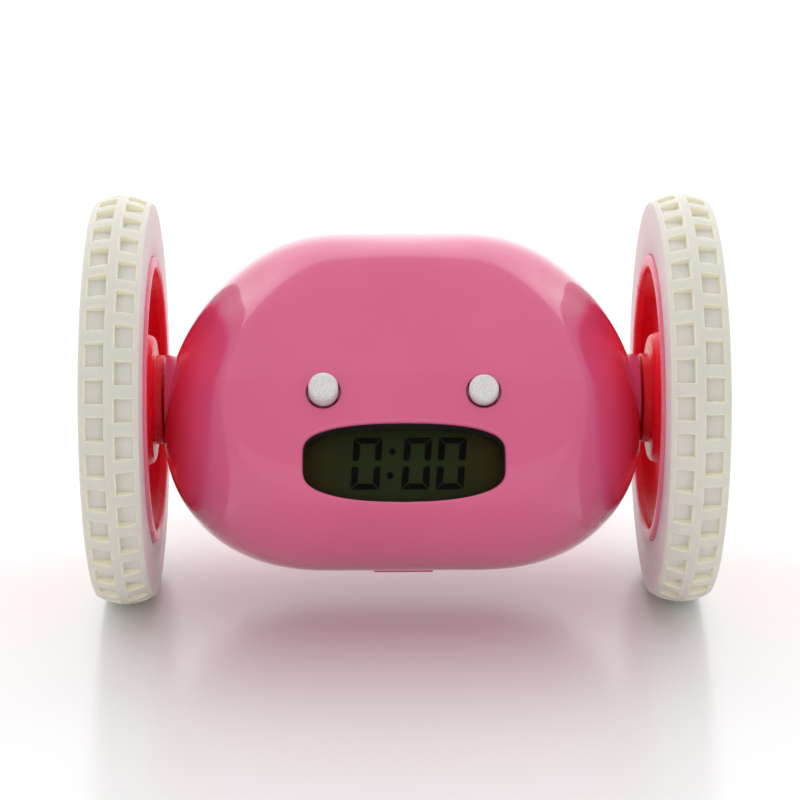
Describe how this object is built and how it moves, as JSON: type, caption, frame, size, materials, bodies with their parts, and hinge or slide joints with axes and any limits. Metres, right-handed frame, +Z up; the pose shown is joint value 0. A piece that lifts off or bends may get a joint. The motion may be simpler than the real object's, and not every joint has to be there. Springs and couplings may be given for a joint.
{
  "type": "runaway alarm clock",
  "caption": "Rounded alarm clock slung between large treaded wheels, with a digital display, eye-like set buttons and a geared motor for each wheel.",
  "frame": {"origin": "on the floor under the middle of the axle, at the bottom centre of the whole clock", "axes": "+X along the axle to the clock's left-hand wheel as it faces you, -Y out of the front, +Z up"},
  "size_m": [0.1324, 0.089, 0.089],
  "materials": {
    "case_pink": "gloss",
    "wheel_red": "gloss",
    "tyre_white": "matt",
    "button_white": "gloss",
    "clear_window": "clear",
    "display_glass": "gloss",
    "dark_plastic": "matt",
    "gear_plastic": "satin",
    "frame_plastic": "matt",
    "board_green": "satin",
    "ribbon": "satin",
    "steel": "satin",
    "brass": "satin",
    "battery_wrap": "gloss",
    "cone_paper": "matt"
  },
  "bodies": {
    "case": {"front_shell": "case_pink", "rear_shell": "case_pink", "display_window": "clear_window", "display_holder": "dark_plastic", "lcd_panel": "display_glass", "display_ribbon": "ribbon", "front_board": "board_green", "front_switches": "steel", "board_chip": "dark_plastic", "rear_board": "board_green", "rear_switches": "steel", "slide_switch_cases": "steel", "speaker": "dark_plastic", "speaker_cone": "cone_paper", "battery_tray": "dark_plastic", "battery_1": "battery_wrap", "battery_2": "battery_wrap", "battery_3": "battery_wrap", "battery_4": "battery_wrap", "battery_contacts": "steel", "right_motor": "steel", "left_motor": "steel", "gear_pins": "steel", "right_gear_frame": "frame_plastic", "left_gear_frame": "frame_plastic", "right_gear_cover": "frame_plastic", "left_gear_cover": "frame_plastic", "right_bush": "gear_plastic", "left_bush": "gear_plastic", "case_screws": "steel", "gearbox_screws": "steel", "board_screws": "steel"},
    "battery_door": {"battery_door": "case_pink"},
    "hour_button": {"hour_button": "button_white"},
    "minute_button": {"minute_button": "button_white"},
    "time_button": {"time_button": "button_white"},
    "alarm_button": {"alarm_button": "button_white"},
    "snooze_button": {"snooze_button": "button_white"},
    "alarm_slider": {"alarm_slider": "button_white"},
    "run_slider": {"run_slider": "button_white"},
    "right_wheel_set": {"right_tyre": "tyre_white", "right_wheel": "wheel_red", "right_hub_cap": "case_pink", "right_axle": "steel", "right_axle_gear": "gear_plastic"},
    "right_middle_set": {"right_middle_gear": "gear_plastic"},
    "right_rotor": {"right_motor_shaft": "steel", "right_motor_pinion": "brass"},
    "left_wheel_set": {"left_tyre": "tyre_white", "left_wheel": "wheel_red", "left_hub_cap": "case_pink", "left_axle": "steel", "left_axle_gear": "gear_plastic"},
    "left_middle_set": {"left_middle_gear": "gear_plastic"},
    "left_rotor": {"left_motor_shaft": "steel", "left_motor_pinion": "brass"}
  },
  "joints": [
    {"name": "right_wheel_spin", "type": "hinge", "parent": "case", "child": "right_wheel_set", "pos_m": [0.06, 0, 0.0445], "axis": [1, 0, 0], "continuous": true},
    {"name": "right_middle_gear_spin", "type": "hinge", "parent": "case", "child": "right_middle_set", "pos_m": [0.031, 0.00259, 0.05724], "axis": [1, 0, 0], "continuous": true},
    {"name": "right_motor_spin", "type": "hinge", "parent": "case", "child": "right_rotor", "pos_m": [0.031, 0.01557, 0.05656], "axis": [1, 0, 0], "continuous": true},
    {"name": "left_wheel_spin", "type": "hinge", "parent": "case", "child": "left_wheel_set", "pos_m": [-0.06, 0, 0.0445], "axis": [1, 0, 0], "continuous": true},
    {"name": "left_middle_gear_spin", "type": "hinge", "parent": "case", "child": "left_middle_set", "pos_m": [-0.031, 0.00259, 0.05724], "axis": [1, 0, 0], "continuous": true},
    {"name": "left_motor_spin", "type": "hinge", "parent": "case", "child": "left_rotor", "pos_m": [-0.031, 0.01557, 0.05656], "axis": [1, 0, 0], "continuous": true},
    {"name": "hour_button_press", "type": "slide", "parent": "case", "child": "hour_button", "axis": [0, 0.788, -0.6157], "range_m": [0, 0.0006], "stiffness_N_per_m": 400, "springref_m": -0.001},
    {"name": "minute_button_press", "type": "slide", "parent": "case", "child": "minute_button", "axis": [0, 0.788, -0.6157], "range_m": [0, 0.0006], "stiffness_N_per_m": 400, "springref_m": -0.001},
    {"name": "time_button_press", "type": "slide", "parent": "case", "child": "time_button", "axis": [0, -0.788, 0.6157], "range_m": [0, 0.0006], "stiffness_N_per_m": 400, "springref_m": -0.001},
    {"name": "alarm_button_press", "type": "slide", "parent": "case", "child": "alarm_button", "axis": [0, -0.788, 0.6157], "range_m": [0, 0.0006], "stiffness_N_per_m": 400, "springref_m": -0.001},
    {"name": "snooze_button_press", "type": "slide", "parent": "case", "child": "snooze_button", "axis": [0, -0.788, 0.6157], "range_m": [0, 0.0006], "stiffness_N_per_m": 400, "springref_m": -0.001},
    {"name": "alarm_slider_slide", "type": "slide", "parent": "case", "child": "alarm_slider", "axis": [1, 0, 0], "range_m": [0, 0.003]},
    {"name": "run_slider_slide", "type": "slide", "parent": "case", "child": "run_slider", "axis": [1, 0, 0], "range_m": [0, 0.003]},
    {"name": "battery_door_open", "type": "hinge", "parent": "case", "child": "battery_door", "pos_m": [0, 0.02746, 0.01625], "axis": [1, 0, 0], "range_deg": [0, 60]}
  ],
  "couplings": [
    {"joint": "right_middle_gear_spin", "follows": "right_wheel_spin", "ratio": -3.3333},
    {"joint": "right_motor_spin", "follows": "right_wheel_spin", "ratio": 11.111},
    {"joint": "left_middle_gear_spin", "follows": "left_wheel_spin", "ratio": -3.3333},
    {"joint": "left_motor_spin", "follows": "left_wheel_spin", "ratio": 11.111}
  ]
}
